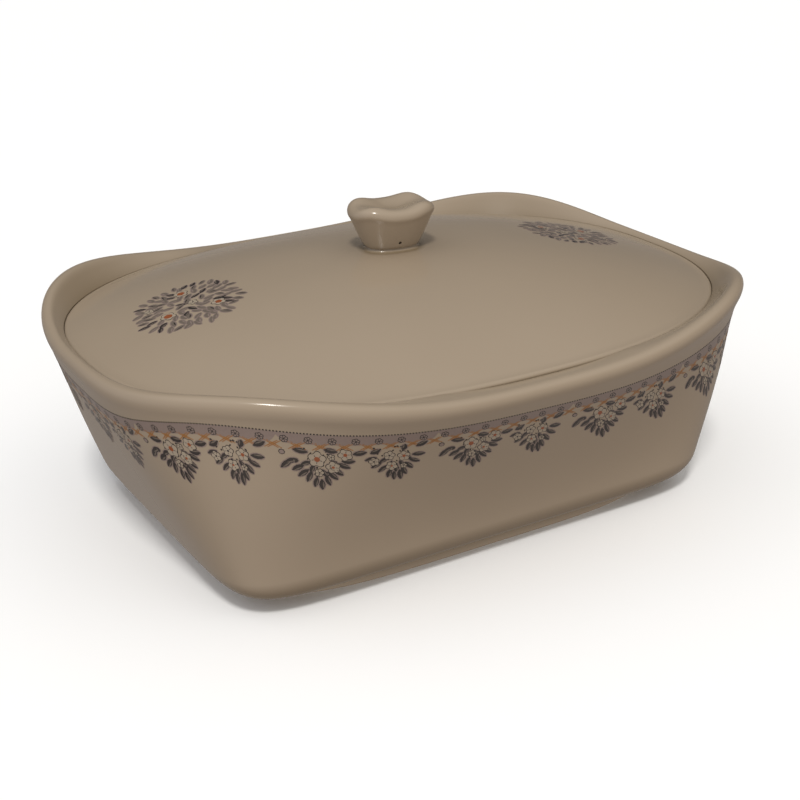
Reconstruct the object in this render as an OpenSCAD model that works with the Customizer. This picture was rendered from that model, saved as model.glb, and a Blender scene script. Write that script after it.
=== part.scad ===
// Lidded serving dish in glazed porcelain. A deep rectangular dish flares up from a foot ring
// to a thick rounded rim that rises at the corners. A domed lid rests on a ledge inside the
// rim, and its hollow knob repeats the rim's wave.
// The origin is in the middle of the foot ring's resting face, with X along the dish.

/* [Dish] */
// Length over the rim
rim_l = 301; // [260:1:340]
// Width over the rim
rim_w = 230.5; // [200:0.5:270]
// Squareness of the rim in plan, where 2 is an oval
rim_n = 2.86; // [2.5:0.01:3.4]
// Mean height of the rim above the table
rim_h = 97.2; // [80:0.1:115]
// Rise of the rim at the corners, and its fall half-way along each side
wave = 4.4; // [0:0.1:6]
// Height of the ends of the rim over the long sides
end_lift = 2.7; // [0:0.1:4]
// How far each end leans in from the rim to the base
lean_end = 33.5; // [20:0.5:40]
// How far each long side leans in from the rim to the base
lean_side = 33.5; // [20:0.5:40]
// Bow of the ends, where 1 is straight and more bends outwards near the rim
flare_end = 0.95; // [0.8:0.05:1.8]
// Bow of the long sides
flare_side = 1.7; // [1:0.05:2]
// Squareness of the base in plan
base_n = 9.8; // [5:0.1:11]
// How soon the square base softens into the rim, from the base up
soften = 1.7; // [1:0.1:2.4]
// Thickness of the wall
wall = 6; // [4:0.5:9]
// Thickness of the floor
floor_t = 6.5; // [4:0.5:10]
// Inward reach of the rounded heel under the wall
heel_in = 8; // [5:0.5:14]
// Height of the rounded heel
heel_h = 11.5; // [5:0.5:16]
// Radius between the inner wall and the floor
floor_r = 18; // [8:1:26]

/* [Rim] */
// Distance from the rim's outside to the lid's edge, at the ends
lip_end = 5.6; // [4.8:0.1:10]
// Distance from the rim's outside to the lid's edge, at the long sides
lip_side = 9; // [7:0.1:13]
// Inward reach of the rim's outer rounding
lip_in = 3.7; // [3:0.1:6]
// Height of the rim's outer rounding
lip_h = 4.7; // [3:0.1:8]

/* [Lid seat] */
// Depth of the ledge below the rim's mean height
seat_drop = 7.8; // [7.2:0.1:12]
// Width of the ledge
ledge_w = 7; // [5.5:0.1:9]
// Thickness of the ledge where it overhangs the inside
ledge_t = 7; // [5:0.5:12]
// Gap round the lid's edge
lid_gap = 1.1; // [0.6:0.1:2]

/* [Foot ring] */
// Height of the foot ring
foot_h = 6.2; // [3:0.1:9]
// Width of the foot ring
foot_t = 7; // [4:0.5:10]
// Step from the heel in to the foot ring
foot_in = 1.5; // [0.6:0.1:4]
// Squareness of the foot ring in plan
foot_n = 4.6; // [3:0.1:4.8]
// Rounding along both edges of the foot ring
foot_r = 1.4; // [0.5:0.1:1.9]

/* [Lid] */
// Squareness of the lid in plan
lid_n = 2.43; // [2.2:0.01:2.48]
// Height of the dome above the lid's edge
dome_h = 22.4; // [14:0.1:32]
// Height of the dome's skirt above the ledge, at the lid's edge
edge_h = 2.8; // [2.4:0.1:5]
// Radius of the lid's rounded edge
edge_r = 2.1; // [1:0.1:2.3]
// Thickness of the dome
lid_t = 5; // [3.5:0.1:7]
// Depth of the locating flange below the ledge
flange_h = 6; // [3:0.1:10]
// Thickness of the locating flange
flange_t = 5; // [3.5:0.1:7]
// Gap between the flange and the ledge's inner edge
flange_gap = 1.5; // [0.8:0.1:3]

/* [Knob] */
// Length over the knob's rim
knob_l = 37.8; // [30:0.1:48]
// Width over the knob's rim
knob_w = 28; // [22:0.1:34]
// Height of the knob's widest line above the top of the dome
knob_h = 16.7; // [14:0.1:24]
// Length of the knob's neck at the dome
neck_l = 22.4; // [18:0.1:28]
// Width of the knob's neck at the dome
neck_w = 15.6; // [13:0.1:20]
// Radius where the neck meets the dome
neck_r = 1.6; // [0.6:0.1:2.5]
// Inward reach of the rounding over the knob's rim
knob_lip = 3.6; // [2:0.1:4.5]
// Height of the rounding over the knob's widest line
knob_lip_h = 3.3; // [1:0.1:4]
// Depth of the hollow in the top of the knob
knob_dip = 3; // [1:0.1:4]
// Rise and fall of the knob's rim
knob_wave = 0.8; // [0:0.1:1.5]
// Turn of the knob from the lid's length, as it was set by hand
knob_turn = -7; // [-12:1:12]
// How far off the lid's middle the knob was set, along the lid
knob_x = -2.2; // [-4:0.1:4]
// How far off the lid's middle the knob was set, across the lid
knob_y = 2.2; // [-4:0.1:4]
// Thickness of the hollow knob's wall
knob_wall = 3.8; // [3:0.1:4.5]
// Diameter of the firing vent into the knob
vent_d = 1.4; // [0.8:0.1:2]
// Height of the firing vent above the top of the dome
vent_up = 4.2; // [3:0.1:6]

/* [Hidden] */

glaze = [0.86, 0.82, 0.74];
dish_cols = 72;
lid_cols = 60;
core_cols = 24;
knob_n = 2.5;
neck_n = 2.5;
crowding = 6;

ledge_z = rim_h - seat_drop;
floor_z = foot_h + floor_t;
lid_a = rim_l / 2 - lip_end;
lid_b = rim_w / 2 - lip_side;
base_a = rim_l / 2 - lean_end;
base_b = rim_w / 2 - lean_side;
open_in = ledge_w - lid_gap;
flange_in = open_in + flange_gap;
edge_z = ledge_z + edge_h;
dome_z = edge_z + dome_h;
knob_a = knob_l / 2;
knob_b = knob_w / 2;
knob_z = dome_z + knob_h;

// Radius of a rounded rectangle of half length a and half width b, along a bearing
function outline(a, b, n, t) = pow(pow(abs(cos(t)) / a, n) + pow(abs(sin(t)) / b, n), -1 / n);

// Rise of a waved rim: up at the corners, down half-way along each side
function swell(a, b, n, t, rise, ends) =
    let(p = atan2(pow(abs(sin(t)) / b, n / 2), pow(abs(cos(t)) / a, n / 2)))
    ends / 2 * cos(2 * p) - rise * cos(4 * p);

// Bearings round the plan, closer together at the corners
function bearings(cols, a, b) = [
    for (i = [0 : cols - 1])
        let(p = 360 * i / cols, q = p + crowding * sin(4 * p))
        atan2(b * sin(q), a * cos(q))
];

function at(t, r, z) = [r * cos(t), r * sin(t), z];

// Height of the dish's rim, and of the knob's rim over its mean
function crest(t) = rim_h + swell(rim_l / 2, rim_w / 2, rim_n, t, wave, end_lift);
function knob_swell(t) = swell(knob_a, knob_b, knob_n, t, knob_wave, 0.3 * knob_wave);

// Radius of the dish's outside at height z on a bearing, drawn in by inset
function side(t, z, inset) =
    let(k = min(1, max(0, (z - foot_h) / (crest(t) - lip_h - foot_h))),
        a = base_a + lean_end * pow(k, flare_end),
        b = base_b + lean_side * pow(k, flare_side),
        n = rim_n + (base_n - rim_n) * pow(1 - k, soften))
    outline(a - inset, b - inset, n, t);

// The dish's section on one bearing, from under the floor out, up and back in to the floor
function dish_section(t) =
    let(foot = function(inset) outline(base_a - heel_in - foot_in - inset,
                                       base_b - heel_in - foot_in - inset, foot_n, t),
        top = crest(t),
        heel_z = foot_h + heel_h,
        wall_z = top - lip_h,
        lid_r = outline(lid_a + lid_gap, lid_b + lid_gap, lid_n, t),
        pocket_z = ledge_z + min(1.2, (top - ledge_z) / 3),
        rim_r = side(t, wall_z, 0),
        crest_r = max(rim_r - lip_in, (rim_r + lid_r) / 2),
        bend_r = crest_r + 0.35 * (lid_r - crest_r),
        open_r = outline(lid_a - open_in, lid_b - open_in, lid_n, t),
        shelf_z = ledge_z - ledge_t,
        bowl_z = floor_z + floor_r)
    concat(
        [at(t, foot(foot_t), foot_h),
         at(t, foot(foot_t), foot_r),
         at(t, foot(foot_t - foot_r), 0),
         at(t, foot(foot_r), 0),
         at(t, foot(0), foot_r),
         at(t, foot(0), foot_h)],
        [for (u = [0 : 18 : 90])
            let(z = foot_h + heel_h * (1 - cos(u)))
            at(t, side(t, z, heel_in * (1 - sin(u))), z)],
        [for (k = [1 : 8])
            let(z = heel_z + (wall_z - heel_z) * k / 8)
            at(t, side(t, z, 0), z)],
        [for (u = [22.5 : 22.5 : 90])
            at(t, rim_r + (crest_r - rim_r) * (1 - cos(u)), wall_z + lip_h * sin(u))],
        [for (s = [0.2 : 0.2 : 1])
            at(t, crest_r * (1 - s) * (1 - s) + bend_r * 2 * s * (1 - s) + lid_r * s * s,
               top + (pocket_z - top) * s * s * (3 - 2 * s))],
        [at(t, lid_r, ledge_z),
         at(t, open_r + 1, ledge_z),
         at(t, open_r, ledge_z - 1)],
        [for (k = [0 : 5])
            let(z = shelf_z + (bowl_z - shelf_z) * k / 5,
                deep = side(t, z, wall),
                ease = max(0, 1 - k / 2))
            at(t, deep + (min(deep, open_r) - deep) * ease, z)],
        [for (u = [18 : 18 : 90])
            let(z = bowl_z - floor_r * sin(u))
            at(t, side(t, z, wall + floor_r * (1 - cos(u))), z)]
    );

// Height of the dome's outside over a point at radius r
function dome(t, r) = dome_z - dome_h * pow(r / outline(lid_a, lid_b, lid_n, t), 2);

// Radius of the lid's edge, drawn in by inset
function lid_edge(t, inset) = outline(lid_a - inset, lid_b - inset, lid_n, t);

// Radius of the knob at a share k of its height, drawn in by inset
function knob_side(t, k, inset) =
    outline((neck_l + (knob_l - neck_l) * pow(k, 0.87)) / 2 - inset,
            (neck_w + (knob_w - neck_w) * pow(k, 0.87)) / 2 - inset,
            neck_n + (knob_n - neck_n) * k, t - knob_turn);
function on_knob(t, r, z) = at(t, r, z) + [knob_x, knob_y, 0];

// The lid's section on one bearing, from under the dome out to the edge and up to the knob
function lid_section(t) =
    let(lift = knob_swell(t - knob_turn),
        skin = function(inset) let(r = lid_edge(t, inset)) dome(t, r),
        root_r = lid_edge(t, flange_in + flange_t),
        foot_r = knob_side(t, 0, -neck_r),
        blend = function(s) foot_r + (lid_edge(t, edge_r) - foot_r) * s)
    concat(
        [for (s = [0.12, 0.35, 0.58, 0.8, 1])
            at(t, root_r * s, dome(t, root_r * s) - lid_t)],
        [at(t, lid_edge(t, flange_in + flange_t - 0.6), ledge_z - flange_h + flange_t / 3),
         at(t, lid_edge(t, flange_in + flange_t * 0.6), ledge_z - flange_h),
         at(t, lid_edge(t, flange_in + flange_t * 0.3), ledge_z - flange_h),
         at(t, lid_edge(t, flange_in), ledge_z - flange_h + flange_t / 3),
         at(t, lid_edge(t, flange_in), ledge_z)],
        [for (u = [90 : -30 : 0])
            at(t, lid_edge(t, edge_r * (1 - cos(u))), ledge_z + edge_r * (1 - sin(u)))],
        [for (u = [30 : 30 : 90])
            at(t, lid_edge(t, edge_r * (1 - cos(u))),
               ledge_z + edge_r + (skin(edge_r) - ledge_z - edge_r) * sin(u))],
        [for (s = [0.88, 0.76, 0.62, 0.48, 0.34, 0.2, 0.09])
            at(t, blend(s), dome(t, blend(s))) + (1 - s) * (1 - s) * [knob_x, knob_y, 0]],
        [for (u = [0 : 30 : 60])
            on_knob(t, knob_side(t, 0, -neck_r * (1 - sin(u))),
                    dome(t, foot_r) + (neck_r + dome_z - dome(t, foot_r)) * (1 - cos(u)))],
        [for (k = [0.12, 0.3, 0.5, 0.68, 0.83])
            on_knob(t, knob_side(t, k, 0), dome_z + k * (knob_h + lift))],
        [for (u = [-30 : 24 : 90])
            on_knob(t, knob_side(t, 1, knob_lip * (1 - cos(u))),
                    knob_z + lift + knob_lip_h * sin(u))],
        [for (s = [0.8, 0.55, 0.28])
            on_knob(t, knob_side(t, 1, knob_lip) * s,
                    knob_z + knob_lip_h + lift * s * s - knob_dip * pow(1 - s * s, 2))]
    );

// The air inside the knob on one bearing, from its floor up
function core_section(t) =
    let(low = vent_up - vent_d,
        high = knob_h + knob_lip_h - knob_dip - knob_wall)
    concat(
        [on_knob(t, knob_side(t, low / knob_h, knob_wall) * 0.6, dome_z + low)],
        [for (k = [0.15 : 0.35 : 0.85])
            let(z = low + (high - low) * k)
            on_knob(t, knob_side(t, z / knob_h, knob_wall), dome_z + z)],
        [on_knob(t, knob_side(t, high / knob_h, knob_wall) * 0.7, dome_z + high)]
    );

// A closed skin over sections that all have the same number of points
module skin_over(sections) {
    m = len(sections[0]);
    n = len(sections);
    polyhedron(
        points = [for (s = sections) each s],
        faces = concat(
            [[for (i = [0 : n - 1]) i * m]],
            [[for (i = [n - 1 : -1 : 0]) i * m + m - 1]],
            [for (i = [0 : n - 1], j = [0 : m - 2])
                let(a = i * m + j, b = (i + 1) % n * m + j)
                each [[a, a + 1, b + 1], [a, b + 1, b]]]
        ),
        convexity = 8
    );
}

module dish() {
    color(glaze)
        skin_over([for (t = bearings(dish_cols, rim_l, rim_w)) dish_section(t)]);
}

// The vent runs from the knob's long side into the air inside
module vent() {
    translate([knob_x, knob_y, dome_z + vent_up])
        rotate([90, 0, knob_turn])
            cylinder(d = vent_d, h = knob_w, $fn = 24);
}

module lid() {
    color(glaze)
        difference() {
            skin_over([for (t = bearings(lid_cols, lid_a, lid_b)) lid_section(t)]);
            skin_over([for (t = bearings(core_cols, knob_a, knob_b)) core_section(t)]);
            vent();
        }
}

dish();
lid();
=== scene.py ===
# A lidded serving dish in glazed porcelain with a floral border, for Blender 4.5.
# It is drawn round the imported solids. Sizes are in millimetres until a mesh is finished, and the meshes
# are in metres. Angles in the settings are in degrees, and a bearing t round the dish is in radians.
import math
import random

import bmesh
import bpy
from mathutils import Matrix, Vector


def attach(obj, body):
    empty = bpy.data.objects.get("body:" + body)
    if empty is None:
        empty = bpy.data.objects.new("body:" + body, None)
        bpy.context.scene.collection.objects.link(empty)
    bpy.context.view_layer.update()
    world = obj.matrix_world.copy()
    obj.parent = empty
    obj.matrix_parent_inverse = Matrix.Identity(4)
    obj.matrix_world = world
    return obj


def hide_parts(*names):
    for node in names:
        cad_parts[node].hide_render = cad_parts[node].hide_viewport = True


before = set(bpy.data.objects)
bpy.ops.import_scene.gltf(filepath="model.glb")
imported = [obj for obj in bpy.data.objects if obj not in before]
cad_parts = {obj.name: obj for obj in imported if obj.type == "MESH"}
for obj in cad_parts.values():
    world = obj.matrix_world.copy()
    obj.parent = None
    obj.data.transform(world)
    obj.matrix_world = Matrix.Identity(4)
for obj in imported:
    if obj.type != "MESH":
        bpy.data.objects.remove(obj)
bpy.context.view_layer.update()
mm = 0.001
print("frame loaded:", ", ".join(sorted(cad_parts)))

# The photograph was taken from the dish's front left, 24 degrees above the table
cameraSetting = {
    "azimuth": -31.29,
    "elevation": 23.54,
    "roll": -0.29,
    "distance": 638.42,
    "target": (-7.97, -14.15, 48.71),
    "lens": 64.72, "sensor": 36,  # mm, the focal length and the sensor's width
    "clip": (0.05, 40),  # metres, the nearest and the farthest that it sees
}


def aroundDish(azimuth, elevation):  # towards a place round the dish, 0 in front of its long side
    a, e = math.radians(azimuth), math.radians(elevation)
    return Vector((math.sin(a) * math.cos(e), -math.cos(a) * math.cos(e), math.sin(e)))


def placeCamera(s):
    back = aroundDish(s["azimuth"], s["elevation"])
    right = aroundDish(s["azimuth"] + 90, 0)
    upright = Matrix((right, back.cross(right), back)).transposed()
    turned = upright @ Matrix.Rotation(math.radians(s["roll"]), 3, "Z")
    place = (Vector(s["target"]) + back * s["distance"]) * mm
    data = bpy.data.cameras.new("camera")
    data.lens = s["lens"]
    data.sensor_width = s["sensor"]
    data.clip_start, data.clip_end = s["clip"]
    camera = bpy.data.objects.new("camera", data)
    camera.matrix_world = Matrix.Translation(place) @ turned.to_4x4()
    bpy.context.scene.collection.objects.link(camera)
    bpy.context.scene.camera = camera


placeCamera(cameraSetting)


# Each material is named for the real one

colourMix = {"data_type": "RGBA"}  # settings of a Mix node


def linear(hexColour):  # sRGB hex to a linear colour with alpha
    parts = [int(hexColour[i:i + 2], 16) / 255 for i in (1, 3, 5)]
    return [c / 12.92 if c <= 0.04045 else ((c + 0.055) / 1.055) ** 2.4 for c in parts] + [1]


def addNode(tree, kind, settings=None, **links):
    # a link is called by its input's name, or by i and its number, and is a node's output or a plain value
    node = tree.nodes.new(kind)
    for name, value in (settings or {}).items():
        setattr(node, name, value)
    for name, value in links.items():
        numbered = name[0] == "i" and name[1:].isdigit()
        socket = node.inputs[int(name[1:]) if numbered else name.replace("_", " ")]
        if isinstance(value, bpy.types.NodeSocket):
            tree.links.new(value, socket)
        else:
            socket.default_value = value
    return node


def newMaterial(name):
    material = bpy.data.materials.new(name)
    material.use_nodes = True
    tree = material.node_tree
    tree.nodes.clear()
    shader = addNode(tree, "ShaderNodeBsdfPrincipled")
    addNode(tree, "ShaderNodeOutputMaterial", Surface=shader.outputs[0])
    return material, tree, shader


# Porcelain under a clear cream glaze: glossy, faintly uneven in tone, and wavy where the glaze ran
glazeLook = {
    "body": "#938573",
    "thin": "#988a78",  # in faint patches, where the glaze is thinner
    "pooledAndShaded": "#6a5a41",  # where it ran together in grooves, and painted shade in the creases, round the lid and down the heel
    "bare": "#8a8072",  # where it was wiped off before the firing
    "tonePatch": 70,  # mm across
    "run": 38.0,  # mm from crest to crest of the glaze's slow waves
    "runDepth": 0.12,
    "peel": 5.0,  # mm from crest to crest of its fine waves
    "peelDepth": 0.012,
    "bump": 0.6,  # how strongly both kinds of wave show
    "roughness": (0.17, 0.22),
    "bareRoughness": 0.75,
    "wiped": (0.5, 0.9),  # mm above the table, bare under the first height and glazed over the second
    "ior": 1.52,
}


def glazedPorcelain(name, s, footed):
    material, tree, shader = newMaterial(name)
    place = addNode(tree, "ShaderNodeTexCoord").outputs["Object"]
    patch = addNode(tree, "ShaderNodeTexNoise", Vector=place, Scale=1 / (s["tonePatch"] * mm),
                    Detail=3.0, Roughness=0.55).outputs[0]
    tone = addNode(tree, "ShaderNodeMix", colourMix,
                   i0=patch, i6=linear(s["body"]), i7=linear(s["thin"])).outputs[2]
    # the darker colour shows as glaze pooled in grooves and as painted shade in creases, round the lid and
    # on the heel
    poolAndShade = addNode(tree, "ShaderNodeAttribute", {"attribute_name": "poolAndShade"}).outputs["Fac"]
    colour = addNode(tree, "ShaderNodeMix", colourMix, i0=poolAndShade, i6=tone, i7=linear(s["pooledAndShaded"])).outputs[2]
    smoothest, dullest = s["roughness"]
    shine = addNode(tree, "ShaderNodeMapRange", Value=patch, To_Min=smoothest, To_Max=dullest).outputs[0]
    if footed:  # the foot's resting face was wiped clean of glaze before the firing
        bareZ, glazedZ = s["wiped"]
        height = addNode(tree, "ShaderNodeSeparateXYZ", Vector=place).outputs["Z"]
        bare = addNode(tree, "ShaderNodeMapRange", Value=height, From_Min=glazedZ * mm, From_Max=bareZ * mm,
                       To_Min=0.0, To_Max=1.0).outputs[0]
        colour = addNode(tree, "ShaderNodeMix", colourMix,
                         i0=bare, i6=colour, i7=linear(s["bare"])).outputs[2]
        shine = addNode(tree, "ShaderNodeMix", {"data_type": "FLOAT"},
                        i0=bare, i2=shine, i3=s["bareRoughness"]).outputs[0]
    slow = addNode(tree, "ShaderNodeTexNoise", Vector=place, Scale=1 / (s["run"] * mm), Detail=1.0)
    fine = addNode(tree, "ShaderNodeTexNoise", Vector=place, Scale=1 / (s["peel"] * mm), Detail=1.0)
    waved = addNode(tree, "ShaderNodeBump", Height=slow.outputs[0],
                    Distance=s["runDepth"] * mm, Strength=s["bump"])
    peeled = addNode(tree, "ShaderNodeBump", Height=fine.outputs[0], Normal=waved.outputs[0],
                     Distance=s["peelDepth"] * mm, Strength=s["bump"])
    tree.links.new(colour, shader.inputs["Base Color"])
    tree.links.new(shine, shader.inputs["Roughness"])
    tree.links.new(peeled.outputs[0], shader.inputs["Normal"])
    shader.inputs["IOR"].default_value = s["ior"]
    return material


# Overglaze decal colours, screen printed in dots too fine to see and fired to the glaze's own gloss
decalLook = {
    "shades": {  # each colour's two tones
        "charcoal": ("#211b19", "#2b2421"),
        "grey": ("#5d534b", "#685e55"),
        "lavender": ("#7a6b65", "#82736c"),
        "white": ("#958979", "#9c9080"),
        "orange": ("#7c3f1e", "#884924"),
        "amber": ("#86592a", "#8f6232"),
    },
    "grain": 1.2,  # mm across, the unevenness of the printed colour
    "roughness": 0.2,
    "ior": glazeLook["ior"],
}


def decalInk(name, s):
    material, tree, shader = newMaterial("overglaze_" + name)
    darker, paler = s["shades"][name]
    place = addNode(tree, "ShaderNodeTexCoord").outputs["Object"]
    grain = addNode(tree, "ShaderNodeTexNoise", Vector=place, Scale=1 / (s["grain"] * mm), Detail=2.0)
    tone = addNode(tree, "ShaderNodeMix", colourMix,
                   i0=grain.outputs[0], i6=linear(darker), i7=linear(paler))
    tree.links.new(tone.outputs[2], shader.inputs["Base Color"])
    shader.inputs["Roughness"].default_value = s["roughness"]
    shader.inputs["IOR"].default_value = s["ior"]
    return material


dishGlaze = glazedPorcelain("cream_glazed_porcelain_dish", glazeLook, True)
lidGlaze = glazedPorcelain("cream_glazed_porcelain_lid", glazeLook, False)
inks = {name: decalInk(name, decalLook) for name in decalLook["shades"]}
print("materials made:", len(bpy.data.materials))


# Porcelain pieces are lofted: a section is worked out on each bearing round the plan

creaseAngle = 38  # degrees, past which an edge shows sharp
pole = 0.04  # the lid's two smallest rings, whose middles are filled, as shares of the ring they start from


def outline(a, b, n, t):  # radius of a rounded rectangle on a bearing
    return (abs(math.cos(t) / a) ** n + abs(math.sin(t) / b) ** n) ** (-1 / n)


def cornerShare(a, b, n, t):  # an angle that is an eighth of a turn at each corner
    return math.atan2(abs(math.sin(t) / b) ** (n / 2), abs(math.cos(t) / a) ** (n / 2))


def swell(a, b, n, t, rise, ends):  # a waved rim: up at the corners, down half-way along each side
    p = cornerShare(a, b, n, t)
    return ends / 2 * math.cos(2 * p) - rise * math.cos(4 * p)


def bearings(columns, a, b):  # closer together at the corners
    crowding = math.radians(6)
    found = []
    for i in range(columns):
        p = math.tau * i / columns
        q = p + crowding * math.sin(4 * p)
        found.append(math.atan2(b * math.sin(q), a * math.cos(q)))
    return found


def steps(low, high, count, first=True):  # evenly spaced values, with or without the first
    return [low + (high - low) * i / count for i in range(0 if first else 1, count + 1)]


def quarter(count, first=True):  # a quarter turn in radians
    return steps(0, math.pi / 2, count, first)


def at(t, r, z, shift=(0, 0)):
    return Vector((r * math.cos(t) + shift[0], r * math.sin(t) + shift[1], z))


def loft(sections):  # a ring of vertices is extruded again and again, and each copy is moved to its place
    bm = bmesh.new()
    poolAndShade = bm.verts.layers.float.new("poolAndShade")
    ring = bmesh.ops.create_circle(bm, segments=len(sections), radius=1)["verts"]
    column = {vert: i for i, vert in enumerate(ring)}
    edges = bm.edges[:]
    for level in range(len(sections[0])):
        if level:
            made = bmesh.ops.extrude_edge_only(bm, edges=edges)["geom"]
            edges = [e for e in made if isinstance(e, bmesh.types.BMEdge)]
            moved = {}
            for vert in (v for v in made if isinstance(v, bmesh.types.BMVert)):
                near = (e.other_vert(vert) for e in vert.link_edges)
                moved[vert] = next(column[other] for other in near if other in column)
            column = moved
            edges = [e for e in edges if all(v in column for v in e.verts)]
        for vert, i in column.items():
            vert.co, vert[poolAndShade] = sections[i][level]
    bmesh.ops.holes_fill(bm, edges=[e for e in bm.edges if e.is_boundary], sides=0)
    bmesh.ops.recalc_face_normals(bm, faces=bm.faces[:])
    return bm


def finishPiece(name, bm, material, replaced=None):  # millimetres become metres here
    bmesh.ops.scale(bm, vec=(mm, mm, mm), verts=bm.verts[:])
    for face in bm.faces:
        face.smooth = True
    for edge in bm.edges:
        edge.smooth = len(edge.link_faces) == 2 and edge.calc_face_angle(0) < math.radians(creaseAngle)
    mesh = bpy.data.meshes.new(name)
    bm.to_mesh(mesh)
    bm.free()
    mesh.materials.append(material)
    piece = bpy.data.objects.new(name, mesh)
    bpy.context.scene.collection.objects.link(piece)
    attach(piece, "root")
    if replaced:
        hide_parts(replaced)
    print(name, "has", len(mesh.polygons), "faces")
    return piece


# A square value is the power of a rounded rectangle: 2 makes an ellipse, and more makes it squarer.
# End values are for the two short ends and side values for the two long sides. Pool-and-shade values say
# how much of the darker colour shows, from 0 to 1, as pooled glaze and as painted shade.
dish = {
    "rimLength": 301, "rimWidth": 230.5, "rimHeight": 97.2, "rimSquare": 2.86,
    "wave": 4.4, "endLift": 2.7,  # how the rim's crest rises and falls
    "leanEnd": 33.5, "leanSide": 33.5,  # how far the wall leans out
    "flareEnd": 0.95, "flareSide": 1.7,  # how late it does so, 1 is a straight wall
    "baseSquare": 9.8, "soften": 1.7,  # the squarer plan at the foot, and how soon it turns to the rim's
    "wall": 6, "floor": 6.5, "floorRadius": 18,
    "heelIn": 8, "heelHeight": 11.5,
    "lipEnd": 5.6, "lipSide": 9,  # from the widest plan in to the lid's edge
    "lipIn": 3.7, "lipHeight": 4.7,  # of the rim's crest, in from the wall and over its end
    "rollDrop": 1.7, "rollPull": 1.15,  # where the rim starts to roll and how softly, in lip heights
    "rollOut": 0.5, "rollIn": 0.7,  # how far the roll is drawn out at its foot and in at its top
    "pocketUp": 3.1,  # the fillet round the lid ends so far over the ledge
    "pocketUnder": 0.3,  # and at least so far under the crest
    "pocketEase": 0.3,  # the share of the fillet that bends before it runs straight down
    "deepPocket": (3, 10),  # the fillet darkens, as pooled glaze and painted shade, where deeper than the first, wholly at the second
    "seatDrop": 7.8, "seatRadius": 0.5,
    "ledge": 6.15, "ledgeThick": 7, "ledgeRadius": 1,
    "lidGap": 0.1,
    "footHeight": 6.2, "footWide": 7, "footIn": 1.5, "footSquare": 4.6, "footRadius": 1.4,
    # painted shade on the foot, its recess and the heel near the table; pooled glaze and painted shade in
    # the fillet, ledge and bowl
    "poolAndShade": {"recess": 0.4, "foot": 0.6, "fillet": 0.25, "deepFillet": 0.42, "ledge": 0.5, "bowl": 0.2},
    "deepFull": 0.4,  # the share of the fillet by which its deep darkening, pooled glaze and painted shade, is full
    "columns": 360,
}
lid = {
    "square": 2.43, "domeHeight": 22.4, "edgeHeight": 2.8, "edgeRadius": 2.1, "thick": 5,
    "flangeHeight": 6, "flangeThick": 5, "flangeGap": 1.5,
    "flangeRound": 0.7,  # of its foot, where 1 is half a circle
    # painted shade and pooled glaze on the lid's edge by the groove and on its flange
    "poolAndShade": {"flange": 0.5, "edge": 0.3},
    "columns": 300,
}
knob = {
    "length": 37.8, "width": 28, "height": 16.69, "neckLength": 22.4, "neckWidth": 15.6,
    "square": 2.5, "taper": 0.87, "neckRadius": 1.6,
    "sides": (0.1, 0.83),  # where the flared sides start and end, as shares of the height
    "lip": 3.6, "lipHeight": 3.3, "lipFrom": -30, "dip": 3,
    "wave": 0.8, "endLift": 0.24,
    "turn": -7, "middle": (-2.2, 2.2),
    "wall": 3.8, "airFoot": 0.6, "airTop": 0.7,  # the hollow narrows to these shares at its ends
    "vent": 1.4, "ventUp": 4.2,
    # painted shade and pooled glaze in the knob's root and in its dished top
    "poolAndShade": {"root": 0.6, "top": 0.3},
    "columns": 48,
}
rimA, rimB = dish["rimLength"] / 2, dish["rimWidth"] / 2
baseA, baseB = rimA - dish["leanEnd"], rimB - dish["leanSide"]
lidA, lidB = rimA - dish["lipEnd"], rimB - dish["lipSide"]
openIn = dish["ledge"] - dish["lidGap"]
flangeIn = openIn + lid["flangeGap"]
ledgeZ = dish["rimHeight"] - dish["seatDrop"]
domeZ = ledgeZ + lid["edgeHeight"] + lid["domeHeight"]
knobZ = domeZ + knob["height"]
knobTurn = math.radians(knob["turn"])


def crest(t):
    return dish["rimHeight"] + swell(rimA, rimB, dish["rimSquare"], t, dish["wave"], dish["endLift"])


def wallRadius(t, z, inset=0):  # of the dish's outer wall at a height
    low = dish["footHeight"]
    k = min(1, max(0, (z - low) / (crest(t) - dish["lipHeight"] - low)))
    a = baseA + dish["leanEnd"] * k ** dish["flareEnd"]
    b = baseB + dish["leanSide"] * k ** dish["flareSide"]
    n = dish["rimSquare"] + (dish["baseSquare"] - dish["rimSquare"]) * (1 - k) ** dish["soften"]
    return outline(a - inset, b - inset, n, t)


def footRadius(t, inset):
    gone = dish["heelIn"] + dish["footIn"] + inset
    return outline(baseA - gone, baseB - gone, dish["footSquare"], t)


def lidRadius(t, inset=0):
    return outline(lidA - inset, lidB - inset, lid["square"], t)


def filletDrop(k):  # how far down the fillet round the lid has come at a share k of the way in
    ease = dish["pocketEase"]
    if k < ease:
        return k * k / (2 * ease * (1 - ease / 2))
    return (k - ease / 2) / (1 - ease / 2)


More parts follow.
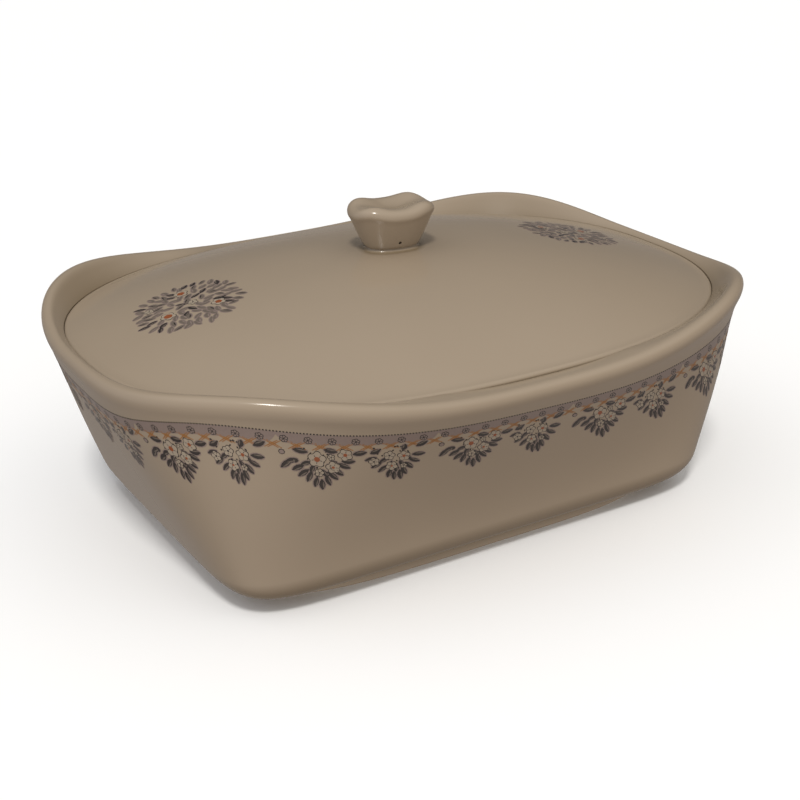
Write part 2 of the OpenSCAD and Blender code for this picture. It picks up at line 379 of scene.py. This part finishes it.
def dishSection(t):  # from under the floor out, up and back in to the floor, as radius, height and pool-and-shade
    footH, wide, footRound = dish["footHeight"], dish["footWide"], dish["footRadius"]
    top, lipH, poolAndShade = crest(t), dish["lipHeight"], dish["poolAndShade"]
    lidR, openR = lidRadius(t, -dish["lidGap"]), lidRadius(t, openIn)
    rimR = wallRadius(t, top - lipH)
    crestR = max(rimR - dish["lipIn"], (rimR + lidR) / 2)
    # the foot's recess and its outer side are darkened with painted shade
    rows = [(footRadius(t, wide), footH, poolAndShade["recess"])]
    for u in quarter(5):  # the foot ring's two rounded edges
        rows.append((footRadius(t, wide - footRound * (1 - math.cos(u))), footRound * (1 - math.sin(u)), 0))
    for u in quarter(5):
        rows.append((footRadius(t, footRound * (1 - math.sin(u))), footRound * (1 - math.cos(u)), 0))
    rows.append((footRadius(t, 0), footH, poolAndShade["foot"]))
    for u in quarter(10):  # heel, with painted shade darkening it down towards the foot
        z = footH + dish["heelHeight"] * (1 - math.cos(u))
        rows.append((wallRadius(t, z, dish["heelIn"] * (1 - math.sin(u))), z, math.cos(u)))
    rollZ = top - dish["rollDrop"] * lipH
    for z in steps(footH + dish["heelHeight"], rollZ, 40, False):
        rows.append((wallRadius(t, z), z, 0))
    rollR = wallRadius(t, rollZ)
    slope = wallRadius(t, rollZ + 0.5) - wallRadius(t, rollZ - 0.5)  # outwards for each millimetre up
    pullR = rollR + slope * dish["rollPull"] * lipH + dish["rollOut"]
    pullZ = rollZ + dish["rollPull"] * lipH
    for k in steps(0, 1, 18, False):  # the rounded rim leaves the wall without an edge
        a, b, c, d = (1 - k) ** 3, 3 * k * (1 - k) ** 2, 3 * k * k * (1 - k), k ** 3
        rows.append((a * rollR + b * pullR + c * (rimR - dish["rollIn"]) + d * crestR,
                     a * rollZ + b * pullZ + (c + d) * top, 0))
    pocketZ = min(ledgeZ + dish["pocketUp"], top - dish["pocketUnder"])
    shallow, full = dish["deepPocket"]
    deep = min(1, max(0, (top - pocketZ - shallow) / (full - shallow)))  # pooled glaze and painted shade, where the fillet is deep at the corners
    for k in steps(0, 1, 16, False):  # the fillet round the lid, darkened as pooled glaze and painted shade
        gatheredAndShaded = poolAndShade["fillet"] * k ** 3 + poolAndShade["deepFillet"] * deep * min(1, k / dish["deepFull"])
        rows.append((crestR + (lidR - crestR) * k, top + (pocketZ - top) * filletDrop(k), gatheredAndShaded))
    seat, edge = dish["seatRadius"], dish["ledgeRadius"]
    for u in quarter(3):
        rows.append((lidR - seat * (1 - math.cos(u)), ledgeZ + seat * (1 - math.sin(u)), poolAndShade["ledge"]))
    for u in quarter(4):  # ledge
        rows.append((openR + edge - edge * math.sin(u), ledgeZ - edge + edge * math.cos(u), poolAndShade["ledge"]))
    shelfZ, bowlZ = ledgeZ - dish["ledgeThick"], footH + dish["floor"] + dish["floorRadius"]
    for fifths in steps(0, 5, 20):  # inner wall, drawn out from the ledge in its first two fifths
        z = shelfZ + (bowlZ - shelfZ) * fifths / 5
        innerR = wallRadius(t, z, dish["wall"])
        rows.append((innerR + (min(innerR, openR) - innerR) * max(0, 1 - fifths / 2), z, 0))
    for u in quarter(10, False):
        z = bowlZ - dish["floorRadius"] * math.sin(u)
        r = wallRadius(t, z, dish["wall"] + dish["floorRadius"] * (1 - math.cos(u)))
        rows.append((r, z, poolAndShade["bowl"]))
    return [(at(t, r, z), pooledAndShaded) for r, z, pooledAndShaded in rows]


def domeHeight(t, r):
    return domeZ - lid["domeHeight"] * (r / lidRadius(t)) ** 2


def knobRadius(t, k, inset=0):  # at a share k of the knob's height
    share = k ** knob["taper"]
    a = (knob["neckLength"] + (knob["length"] - knob["neckLength"]) * share) / 2
    b = (knob["neckWidth"] + (knob["width"] - knob["neckWidth"]) * share) / 2
    return outline(a - inset, b - inset, knob["square"], t - knobTurn)


def lidSection(t):
    # from under the dome out to the edge, up and over the knob, as radius, height, how far the point
    # follows the knob's own middle, and pool-and-shade, which is pooled glaze and painted shade
    rootR = lidRadius(t, flangeIn + lid["flangeThick"])
    half, bottomZ = lid["flangeThick"] / 2, ledgeZ - lid["flangeHeight"]
    rows = []
    for k in steps(pole, 1, 10):  # underside
        rows.append((rootR * k, domeHeight(t, rootR * k) - lid["thick"], 0, 0))
    for u in steps(0, math.pi, 8):  # rounded foot of the locating flange
        r = lidRadius(t, flangeIn + half * (1 + math.cos(u)))
        rows.append((r, bottomZ + half * lid["flangeRound"] * (1 - math.sin(u)), 0, 0))
    rows.append((lidRadius(t, flangeIn), ledgeZ, 0, lid["poolAndShade"]["flange"]))
    edgeR = lid["edgeRadius"]
    for u in reversed(quarter(5)):
        r = lidRadius(t, edgeR * (1 - math.cos(u)))
        rows.append((r, ledgeZ + edgeR * (1 - math.sin(u)), 0, lid["poolAndShade"]["edge"]))
    skirtZ, shoulderR = ledgeZ + edgeR, lidRadius(t, edgeR)
    shoulderZ = domeHeight(t, shoulderR)
    for u in quarter(7, False):
        r = lidRadius(t, edgeR * (1 - math.cos(u)))
        rows.append((r, skirtZ + (shoulderZ - skirtZ) * math.sin(u), 0, 0))
    footR = knobRadius(t, 0, -knob["neckRadius"])
    for k in steps(1, 0, 46, False)[:-1]:  # dome, eased over to the knob's own middle
        r = footR + (shoulderR - footR) * k
        rows.append((r, domeHeight(t, r), (1 - k) ** 2, 0))
    rootZ = domeHeight(t, footR)
    for u in quarter(6)[:-1]:  # where the knob was joined on, darkened in the crease as pooled glaze and painted shade
        r = knobRadius(t, 0, -knob["neckRadius"] * (1 - math.sin(u)))
        z = rootZ + (knob["neckRadius"] + domeZ - rootZ) * (1 - math.cos(u))
        rows.append((r, z, 1, knob["poolAndShade"]["root"] * math.cos(u)))
    lift = swell(knob["length"] / 2, knob["width"] / 2, knob["square"], t - knobTurn,
                 knob["wave"], knob["endLift"])
    for k in steps(*knob["sides"], 12):
        rows.append((knobRadius(t, k), domeZ + k * (knob["height"] + lift), 1, 0))
    for u in steps(math.radians(knob["lipFrom"]), math.pi / 2, 12):  # rolled rim of the knob
        r = knobRadius(t, 1, knob["lip"] * (1 - math.cos(u)))
        rows.append((r, knobZ + lift + knob["lipHeight"] * math.sin(u), 1, 0))
    for k in steps(1, pole, 12, False):  # dished top, darker towards its middle as pooled glaze and painted shade
        z = knobZ + knob["lipHeight"] + lift * k * k - knob["dip"] * (1 - k * k) ** 2
        rows.append((knobRadius(t, 1, knob["lip"]) * k, z, 1, knob["poolAndShade"]["top"] * (1 - k)))
    x, y = knob["middle"]
    return [(at(t, r, z, (x * own, y * own)), pooledAndShaded) for r, z, own, pooledAndShaded in rows]


def airSection(t):  # the air inside the hollow knob
    low = knob["ventUp"] - knob["vent"]
    high = knob["height"] + knob["lipHeight"] - knob["dip"] - knob["wall"]
    section = []
    for share, k in [(knob["airFoot"], 0)] + [(1, k) for k in steps(0.15, 0.85, 4)] + [(knob["airTop"], 1)]:
        z = low + (high - low) * k
        r = knobRadius(t, z / knob["height"], knob["wall"]) * share
        section.append((at(t, r, domeZ + z, knob["middle"]), 0))
    return section


def ventCutter():  # the firing vent is a plain hole from the knob's side in to its hollow
    bm = bmesh.new()
    x, y = knob["middle"]
    middle = Vector((x, y, domeZ + knob["ventUp"]))
    outward = Vector((math.sin(knobTurn), -math.cos(knobTurn), 0))
    reach = knob["width"]
    turned = outward.to_track_quat("Z", "Y").to_matrix().to_4x4()
    bmesh.ops.create_cone(
        bm, cap_ends=True, segments=32, radius1=knob["vent"] / 2, radius2=knob["vent"] / 2, depth=reach,
        matrix=Matrix.Translation(middle + outward * reach / 2) @ turned)
    return bm


def cutAway(piece, cutters):  # takes each closed bmesh out of the piece
    for bm in cutters:
        bmesh.ops.scale(bm, vec=(mm, mm, mm), verts=bm.verts[:])
        mesh = bpy.data.meshes.new("cutter")
        bm.to_mesh(mesh)
        bm.free()
        tool = bpy.data.objects.new("cutter", mesh)
        bpy.context.scene.collection.objects.link(tool)
        cut = piece.modifiers.new("cut", "BOOLEAN")
        cut.operation, cut.solver, cut.object = "DIFFERENCE", "EXACT", tool
        bpy.context.view_layer.update()
        made = bpy.data.meshes.new_from_object(piece.evaluated_get(bpy.context.evaluated_depsgraph_get()))
        piece.modifiers.clear()
        piece.data = made
        bpy.data.objects.remove(tool)


finishPiece(
    "porcelain_dish", loft([dishSection(t) for t in bearings(dish["columns"], rimA, rimB)]),
    dishGlaze, "dish")
lidPiece = finishPiece(
    "porcelain_lid", loft([lidSection(t) for t in bearings(lid["columns"], lidA, lidB)]),
    lidGlaze, "lid")
knobBearings = bearings(knob["columns"], knob["length"], knob["width"])
cutAway(lidPiece, [loft([airSection(t) for t in knobBearings]), ventCutter()])


# The printed decals are drawn flat, one ink at a time, in millimetres with y upwards.
# They are then laid on the glaze. A level is how far an ink's face stands over the glaze.

inkLevel = {"lavender": 0.05, "amber": 0.06, "charcoal": 0.07, "grey": 0.09, "white": 0.1, "orange": 0.13}
overprint = 0.11  # the level of what is printed over other inks
inkFoot = -0.04  # each ink reaches a little into the glaze

leafPrint = {
    "ground": (0.4, 0.7),  # how much longer and wider its lavender ground is
    "streak": (0.66, 0.26),  # the streak's length and width, as shares of the leaf's
    "streakPlace": (0.06, 0.2),  # how far its middle is along the leaf and to the side, also as shares
}
flowerPrint = {
    "petals": 5, "petalDepth": 0.32, "tall": 1.05,
    "outline": 0.65,  # how much smaller the white is than the dark under it
    "vein": (0.15, 0.3), "veinWidth": 0.3,  # its ends as shares of the flower's width, and its width in mm
    "bud": 0.2,  # the dark middle of a flower without a heart, as a share of its width
}


def leafShape(angle):  # pointed at both ends
    return math.cos(angle), math.sin(angle) * abs(math.sin(angle))


def discShape(angle):
    return math.cos(angle), math.sin(angle)


def lobedShape(lobes, depth):
    def shape(angle):
        r = 1 - depth + depth * abs(math.cos(angle * lobes / 2))
        return r * math.cos(angle), r * math.sin(angle)
    return shape


class Sheet:  # a flat sheet of decals with one bmesh for each ink
    def __init__(self):
        self.inks = {}

    def layer(self, ink):
        if ink not in self.inks:
            self.inks[ink] = bmesh.new()
        return self.inks[ink]

    def stamp(self, ink, shape, place, size, turn, segments=12, level=None):
        made = bmesh.ops.create_circle(
            self.layer(ink), cap_ends=True, cap_tris=True, segments=segments, radius=1)["verts"]
        cosine, sine = math.cos(math.radians(turn)), math.sin(math.radians(turn))
        for vert in made:
            x, y = vert.co.x, vert.co.y
            if x * x + y * y > 0.25:  # all but the middle one
                x, y = shape(math.atan2(y, x))
            x, y = x * size[0] / 2, y * size[1] / 2
            vert.co = (place[0] + x * cosine - y * sine, place[1] + x * sine + y * cosine,
                       inkLevel[ink] if level is None else level)

    def line(self, ink, start, end, width, level=None):
        middle = ((start[0] + end[0]) / 2, (start[1] + end[1]) / 2)
        across, up = end[0] - start[0], end[1] - start[1]
        size = (math.hypot(across, up), width)
        self.stamp(ink, discShape, middle, size, math.degrees(math.atan2(up, across)), 6, level)

    def spoke(self, x, y, turn, near, far, width):  # a fine dark line out from a middle
        cosine, sine = math.cos(math.radians(turn)), math.sin(math.radians(turn))
        self.line("charcoal", (x + near * cosine, y + near * sine), (x + far * cosine, y + far * sine),
                  width, overprint)

    def leaf(self, x, y, turn, length, width=2.5, shades=("charcoal", "grey")):  # with a streak down it
        cosine, sine = math.cos(math.radians(turn)), math.sin(math.radians(turn))
        longer, wider = leafPrint["ground"]
        self.stamp(shades[0], leafShape, (x, y), (length, width), turn)
        self.stamp("lavender", discShape, (x, y), (length + longer, width + wider), turn)
        along, aside = leafPrint["streakPlace"]
        streakLength, streakWidth = leafPrint["streak"]
        side = width * aside
        middle = (x + cosine * length * along - sine * side, y + sine * length * along + cosine * side)
        self.stamp(shades[1], leafShape, middle, (length * streakLength, width * streakWidth),
                   turn, 8, overprint)

    def flower(self, x, y, across, turn, heart):
        s, tall = flowerPrint, across * flowerPrint["tall"]
        shape = lobedShape(s["petals"], s["petalDepth"])
        self.stamp("charcoal", shape, (x, y), (across, tall), turn, 30)
        self.stamp("white", shape, (x, y), (across - s["outline"], tall - s["outline"]), turn, 30)
        for i in range(s["petals"]):
            between = turn + (2 * i + 1) * 180 / s["petals"]
            self.spoke(x, y, between, across * s["vein"][0], across * s["vein"][1], s["veinWidth"])
        if heart:
            self.stamp("orange", discShape, (x, y), (heart, heart), turn, 10)
        else:
            bud = across * s["bud"]
            self.stamp("charcoal", discShape, (x, y), (bud, bud), turn, 8, overprint)

    def lay(self, prefix, places, slot):  # each place is one repeat, and puts a flat point on the glaze
        for ink, flat in self.inks.items():
            bottom = bmesh.ops.extrude_face_region(flat, geom=flat.faces[:], use_keep_orig=True)["geom"]
            for vert in (v for v in bottom if isinstance(v, bmesh.types.BMVert)):
                vert.co.z = inkFoot
            template = bpy.data.meshes.new("template")
            flat.to_mesh(template)
            flat.free()
            bm = bmesh.new()
            for place in places:
                done = len(bm.verts)
                bm.from_mesh(template)
                bm.verts.ensure_lookup_table()
                for vert in bm.verts[done:]:
                    vert.co = place(*vert.co)
            bpy.data.meshes.remove(template)
            bmesh.ops.recalc_face_normals(bm, faces=bm.faces[:])
            finishPiece(prefix + ink, bm, inks[ink])


# Places on the border are measured from the start of a repeat, and upwards from the dotted line
border = {
    "below": 14.6,  # from the rim's crest down to the dotted line
    "wave": 4.9, "endLift": 0.4, "cornerDip": 1.4,
    "askew": 3.4,  # how much lower the transfer was laid at one end
    "repeats": 14,
    "start": 46.0,  # mm round the line from the middle of the left end to the first repeat
    "samples": 1440,  # points that the line's length is measured by
    "stretch": (1.22, 0.24),  # the wet transfer was drawn downwards, more so at that end, and pulled aslant
    "slant": (0.42, 0.22),
    "dots": 51, "dot": (0.8, 0.7),
    "band": 4.6, "bandTop": -0.2,
    "notch": (2.4, 1.2),  # half its width, and the band's depth in the middle of it
    "rosettes": 7, "rosetteY": -3.0, "crossY": -5.7,
    "knot": (1.2, -8.8), "knotSize": (2.7, 2.4), "knotHeart": (1.9, 1.7),  # where two repeats meet
    "leaves": (  # loose ones over and beside the bunches: place, turn and length
        (2.4, -13.8, -142, 6.2), (8.2, -7.8, -10, 6.0), (19.6, -7.4, -12, 5.4), (30.6, -8.8, 8, 5.8),
        (36.6, -8.4, 22, 4.6), (48.2, -7.2, 70, 3.6), (55.4, -6.4, 24, 5.6), (6.0, -12.4, 100, 1.8)),
    "bunches": (  # middle, half the width, top, depth, leaves round the edge and random seed
        (15.4, 12.0, -11.0, 11.8, 11, 11), (44.4, 10.8, -10.6, 12.2, 10, 12)),
    "flowers": (  # of each bunch: place, width, turn and width of the heart
        ((14.2, -11.4, 7.4, 10, 2.3), (25.0, -9.4, 6.0, 40, 1.6), (20.0, -15.2, 6.0, 25, 1.2),
         (14.6, -17.6, 4.0, 0, 0), (19.6, -10.4, 3.2, 30, 0)),
        ((47.8, -12.0, 5.6, 20, 1.5), (42.6, -16.8, 5.2, 50, 1.0), (42.0, -11.0, 5.0, 5, 0),
         (35.8, -13.6, 4.6, 30, 0), (47.4, -17.4, 3.2, 10, 0))),
}
nearTurn, nearStep = 0.002, 0.3  # radians and mm to the next point, to find how the glaze faces


def lineHeight(t):
    p = cornerShare(rimA, rimB, dish["rimSquare"], t)
    waved = swell(rimA, rimB, dish["rimSquare"], t, border["wave"], border["endLift"])
    waved -= border["cornerDip"] * math.cos(6 * p)
    return dish["rimHeight"] - border["below"] + waved - border["askew"] * math.cos(t)


def wallPoint(t, z):
    return at(t, wallRadius(t, z), z)


def linePoint(t):
    return wallPoint(t, lineHeight(t))


def lineTable(count):  # how far round the dotted line each bearing is
    table, total, last = [], 0, None
    for i in range(count + 1):
        t = -math.pi + math.tau * i / count
        here = linePoint(t)
        total += (here - last).length if last else 0
        table.append((total, t))
        last = here
    return table


lineRound = lineTable(border["samples"])
lineLength = lineRound[-1][0]
pitch = lineLength / border["repeats"]


def bearingAt(s):
    s %= lineLength
    low, high = 0, len(lineRound) - 1
    while high - low > 1:
        middle = (low + high) // 2
        low, high = (middle, high) if lineRound[middle][0] <= s else (low, middle)
    (s0, t0), (s1, t1) = lineRound[low], lineRound[high]
    return t0 + (t1 - t0) * (s - s0) / (s1 - s0)


def drawn(pair, t):  # a value that changes from one end of the dish to the other
    return pair[0] + pair[1] * math.cos(t)


def onWall(s, up, lift):  # a point s round the dotted line, square up from it, and out from the glaze
    up *= drawn(border["stretch"], bearingAt(s))
    t = bearingAt(s - up * drawn(border["slant"], bearingAt(s)))
    start = linePoint(t)
    along = (linePoint(t + nearTurn) - start).normalized()
    lean = wallRadius(t, start.z + up / 2 + 1) - wallRadius(t, start.z + up / 2 - 1)
    z = start.z + up / math.hypot(1, lean / 2)
    for again in range(2):  # back to where the point is square to the line
        here = wallPoint(t, z)
        t -= nearTurn * (here - start).dot(along) / (wallPoint(t + nearTurn, z) - here).dot(along)
    here = wallPoint(t, z)
    normal = (wallPoint(t + nearTurn, z) - here).cross(wallPoint(t, z + nearStep) - here).normalized()
    return here + normal * lift


rosettePrint = {
    "petals": 6, "petalDepth": 0.16, "turn": 15,
    "outer": (3.5, 3.4),
    "inner": (2.8, 2.7), "innerLevel": 0.09,
    "spokes": 6, "spokeTurn": 45, "spoke": (0.4, 1.45), "spokeWidth": 0.3,  # a spoke's ends from the middle
    "bud": 0.9,
}


def rosette(sheet, x, y):
    s = rosettePrint
    shape = lobedShape(s["petals"], s["petalDepth"])
    sheet.stamp("charcoal", shape, (x, y), s["outer"], s["turn"], 24)
    sheet.stamp("lavender", shape, (x, y), s["inner"], s["turn"], 24, s["innerLevel"])
    for i in range(s["spokes"]):
        sheet.spoke(x, y, s["spokeTurn"] + 360 / s["spokes"] * i, *s["spoke"], s["spokeWidth"])
    sheet.stamp("charcoal", discShape, (x, y), (s["bud"], s["bud"]), 0, 8, overprint)


crossPrint = {
    "reach": 3.1, "drop": 1.9,  # from the cross's middle to an arm's end
    "aside": 0.6,  # of each stroke from the arm's middle
    "stroke": 0.5,
}


def cross(sheet, x, y):  # each arm is two fine strokes
    s = crossPrint
    for lean in (-1, 1):
        for offset in (-s["aside"], s["aside"]):
            low = (x - s["reach"] + offset, y - s["drop"] * lean)
            high = (x + s["reach"] + offset, y + s["drop"] * lean)
            sheet.line("amber", low, high, s["stroke"])


bunch = {
    "edgeCurve": 1.3, "edgeFan": 88, "edgeLength": (5.0, 5.8), "edgeWidth": (2.0, 2.5),
    "innerFewer": 5, "innerCurve": 1.4, "innerFan": 70, "innerSize": (4.4, 2.0),
    "innerWide": 0.55, "innerDeep": 0.56, "innerDrop": 0.6,  # the first two as shares of the bunch
    "buds": 34, "budLength": (0.7, 1.3), "budWidth": (0.5, 0.9), "budTop": 4.5,
}


def hang(sheet, x, half, top, depth, count, seed):
    # leaves fanned round the edge of a hanging triangle, fewer within it, and buds between the flowers
    s, draw = bunch, random.Random(seed)
    for i in range(count):
        u = -1 + 2 * (i + 0.5) / count
        down = 1 - abs(u) ** s["edgeCurve"]
        sheet.leaf(x + half * u + draw.uniform(-0.3, 0.3), top - depth * down + draw.uniform(-0.4, 0.4),
                   -90 + s["edgeFan"] * u + draw.uniform(-8, 8),
                   draw.uniform(*s["edgeLength"]), draw.uniform(*s["edgeWidth"]))
    within = count - s["innerFewer"]
    for i in range(within):
        u = -1 + 2 * (i + 0.5) / within
        down = 1 - abs(u) ** s["innerCurve"]
        y = top - s["innerDrop"] - depth * s["innerDeep"] * down + draw.uniform(-0.5, 0.5)
        turn = -90 + s["innerFan"] * u + draw.uniform(-16, 16)
        sheet.leaf(x + half * s["innerWide"] * u, y, turn, *s["innerSize"])
    for i in range(s["buds"]):
        u, v = draw.uniform(-0.8, 0.8), draw.uniform(0, 1)
        place = (x + half * u * (1 - 0.7 * v), top + s["budTop"] - (depth + 1) * v)
        size = (draw.uniform(*s["budLength"]), draw.uniform(*s["budWidth"]))
        sheet.stamp("charcoal", discShape, place, size, draw.uniform(0, 180), 6)


def borderSheet():  # one repeat: a dotted line, a band with rosettes, crosses, and two hanging bunches
    sheet = Sheet()
    for i in range(border["dots"]):
        sheet.stamp("charcoal", discShape, (pitch * (i + 0.5) / border["dots"], 0), border["dot"], 0, 6)
    # the band is a strip with a notch at the start of each repeat
    band = sheet.layer("lavender")
    bmesh.ops.create_grid(band, x_segments=42, y_segments=3, size=1)
    notchHalf, notchDepth = border["notch"]
    for vert in band.verts:
        s = (vert.co.x + 1) / 2 * pitch
        nearNotch = min(s, pitch - s)
        depth = border["band"]
        if nearNotch <= notchHalf:
            depth = notchDepth + (border["band"] - notchDepth) * nearNotch / notchHalf
        vert.co = (s, border["bandTop"] - depth * (1 - vert.co.y) / 2, inkLevel["lavender"])
    gap = pitch / border["rosettes"]
    for i in range(border["rosettes"]):
        rosette(sheet, gap * (i + 0.3), border["rosetteY"])
        cross(sheet, gap * (i + 0.8), border["crossY"])
    sheet.stamp("charcoal", lobedShape(8, 0.12), border["knot"], border["knotSize"], 0, 16)
    sheet.stamp("lavender", discShape, border["knot"], border["knotHeart"], 0, 12, overprint)
    for leaf in border["leaves"]:
        sheet.leaf(*leaf)
    for place, flowers in zip(border["bunches"], border["flowers"]):
        hang(sheet, *place)
        for flower in flowers:
            sheet.flower(*flower)
    return sheet


def startAt(repeat):
    return lambda x, y, z: onWall(border["start"] + pitch * repeat + x, y, z)


borderSheet().lay("border_", [startAt(i) for i in range(border["repeats"])], "dish_glaze")

posy = {
    "places": ((-97, 6, 1), (96, 3.5, -1)),  # the right one is turned half-way round
    "leafInks": (("charcoal", "grey"), ("grey", "charcoal"), ("grey", "lavender"), ("grey", "lavender")),
    "leafLength": (4.4, 5.8), "leafWidth": (1.9, 2.5),
    "rows": ((4.2, 8), (8.4, 16), (12.6, 24), (16.8, 30), (20.8, 33)),  # radius and leaves in each row
    "flowers": ((2.3, 13.0, 6.6, 10, 3.2), (-10.5, -3.4, 6.8, 40, 3.6), (9.8, -8.4, 6.4, 25, 2.8),
                (2.2, 0.4, 4.6, 30, 0), (-14.0, 8.4, 4.4, 20, 0)),  # place, width, turn, width of the heart
    "flowerGap": 0.8,  # from a flower's edge to the middle of the nearest leaf
    "seed": 5,
}


def domePoint(x, y):  # the dome is eased over towards the knob
    shoulder, left, front = lidRadius(math.atan2(y, x), lid["edgeRadius"]), x, y
    for again in range(2):  # back to the point of the plain dome that was moved here
        own = (1 - math.hypot(left, front) / shoulder) ** 2
        left, front = x - own * knob["middle"][0], y - own * knob["middle"][1]
    return Vector((x, y, domeHeight(math.atan2(front, left), math.hypot(left, front))))


def onDome(left, front, turn):
    def place(x, y, lift):
        x, y = left + turn * x, front + turn * y
        here = domePoint(x, y)
        normal = (domePoint(x + nearStep, y) - here).cross(domePoint(x, y + nearStep) - here).normalized()
        return here + normal * lift
    return place


def clearOfFlowers(x, y):
    return all(math.hypot(x - left, y - up) > across / 2 + posy["flowerGap"]
               for left, up, across, turn, heart in posy["flowers"])


def posySheet():
    sheet, draw = Sheet(), random.Random(posy["seed"])
    for radius, count in posy["rows"]:
        for i in range(count):
            a = math.tau * (i + draw.uniform(0.3, 0.7)) / count + radius  # each row starts elsewhere
            r = radius + draw.uniform(-1.2, 1.2)
            x, y = r * math.cos(a), r * math.sin(a)
            if clearOfFlowers(x, y):
                sheet.leaf(x, y, math.degrees(a) + draw.uniform(-48, 48), draw.uniform(*posy["leafLength"]),
                           draw.uniform(*posy["leafWidth"]), draw.choice(posy["leafInks"]))
    for flower in posy["flowers"]:
        sheet.flower(*flower)
    return sheet


posySheet().lay("posy_", [onDome(*place) for place in posy["places"]], "lid_glaze")
print("decals laid on the glaze")


# A plain white table top, a lamp over the camera's shoulder, and soft light from the room round them.
# The photograph's white ground was put in later. The real table was dim, so this one is hidden from the
# glaze's light and reflections, and the lower half of the room gives both instead.

studio = {
    "table": ("#fbfdff", "#f8fbff"),
    "tableHalf": 8,  # metres from its middle to its edge
    "tableClouds": 3.0,  # of its two tones, to the metre
    "tableRoughness": 0.9,
    "lamp": (-34, 58),  # azimuth and elevation
    "lampPower": 1.5,
    "lampAngle": 9,  # degrees across, which sets how soft the shadows are
    "lampTint": "#fffaf3",
    "above": (0.11, "#ffffff"),  # how bright the room is over the table's height, and its tint
    "below": (0.29, "#fff3ea"),  # and under it
    "horizon": 0.12,  # how far the one blends into the other, up and down
    "windows": (  # azimuth, elevation, degrees from the middle to the dark, brightness, tint
        (-36, 58, 90, 0.44, "#fffcf8"),
        (0, 90, 70, 0.31, "#fffdfa"),
        (38, 22, 75, 0.30, "#fff3e4"),
        (-104, 20, 64, 0.42, "#f6f8ff"),
        (-31, -25, 70, 0.40, "#fff3ea"),
    ),
}


def layTable(s):
    bm = bmesh.new()
    bmesh.ops.create_grid(bm, x_segments=1, y_segments=1, size=s["tableHalf"])
    mesh = bpy.data.meshes.new("table_top")
    bm.to_mesh(mesh)
    bm.free()
    material, tree, shader = newMaterial("white_matt_table")
    place = addNode(tree, "ShaderNodeTexCoord").outputs["Object"]
    cloud = addNode(tree, "ShaderNodeTexNoise", Vector=place, Scale=s["tableClouds"], Detail=2.0)
    tone = addNode(tree, "ShaderNodeMix", colourMix,
                   i0=cloud.outputs[0], i6=linear(s["table"][0]), i7=linear(s["table"][1]))
    tree.links.new(tone.outputs[2], shader.inputs["Base Color"])
    shader.inputs["Roughness"].default_value = s["tableRoughness"]
    mesh.materials.append(material)
    table = bpy.data.objects.new("table_top", mesh)
    table.visible_diffuse = table.visible_glossy = table.visible_shadow = False
    bpy.context.scene.collection.objects.link(table)


def hangLamp(s):
    data = bpy.data.lights.new("lamp", "SUN")
    data.energy, data.angle = s["lampPower"], math.radians(s["lampAngle"])
    data.color = linear(s["lampTint"])[:3]
    lamp = bpy.data.objects.new("lamp", data)
    lamp.rotation_mode = "QUATERNION"
    lamp.rotation_quaternion = aroundDish(*s["lamp"]).to_track_quat("Z", "Y")
    bpy.context.scene.collection.objects.link(lamp)


def lightRoom(s):
    world = bpy.data.worlds.new("studio")
    world.use_nodes = True
    tree = world.node_tree
    tree.nodes.clear()
    look = addNode(tree, "ShaderNodeTexCoord").outputs["Generated"]
    height = addNode(tree, "ShaderNodeSeparateXYZ", Vector=look).outputs["Z"]
    share = addNode(tree, "ShaderNodeMapRange", {"interpolation_type": "SMOOTHSTEP"},
                    Value=height, From_Min=-s["horizon"], From_Max=s["horizon"])
    below, above = [Vector(linear(tint)[:3]) * bright for bright, tint in (s["below"], s["above"])]
    light = addNode(tree, "ShaderNodeMix", {"data_type": "VECTOR"},
                    i0=share.outputs[0], i4=below, i5=above).outputs[1]
    for azimuth, elevation, spread, power, tintHex in s["windows"]:
        facing = addNode(tree, "ShaderNodeVectorMath", {"operation": "DOT_PRODUCT"},
                         i0=look, i1=aroundDish(azimuth, elevation)).outputs["Value"]
        glow = addNode(tree, "ShaderNodeMapRange", {"interpolation_type": "SMOOTHSTEP"}, Value=facing,
                       From_Min=math.cos(math.radians(spread)), From_Max=1.0, To_Min=0.0, To_Max=power)
        tinted = addNode(tree, "ShaderNodeVectorMath", {"operation": "SCALE"},
                         i0=Vector(linear(tintHex)[:3]), Scale=glow.outputs[0])
        light = addNode(tree, "ShaderNodeVectorMath", i0=light, i1=tinted.outputs[0]).outputs[0]
    background = addNode(tree, "ShaderNodeBackground", Color=light)
    addNode(tree, "ShaderNodeOutputWorld", Surface=background.outputs[0])
    bpy.context.scene.world = world
    bpy.context.scene.view_settings.view_transform = "Standard"


layTable(studio)
hangLamp(studio)
lightRoom(studio)
print("studio set")
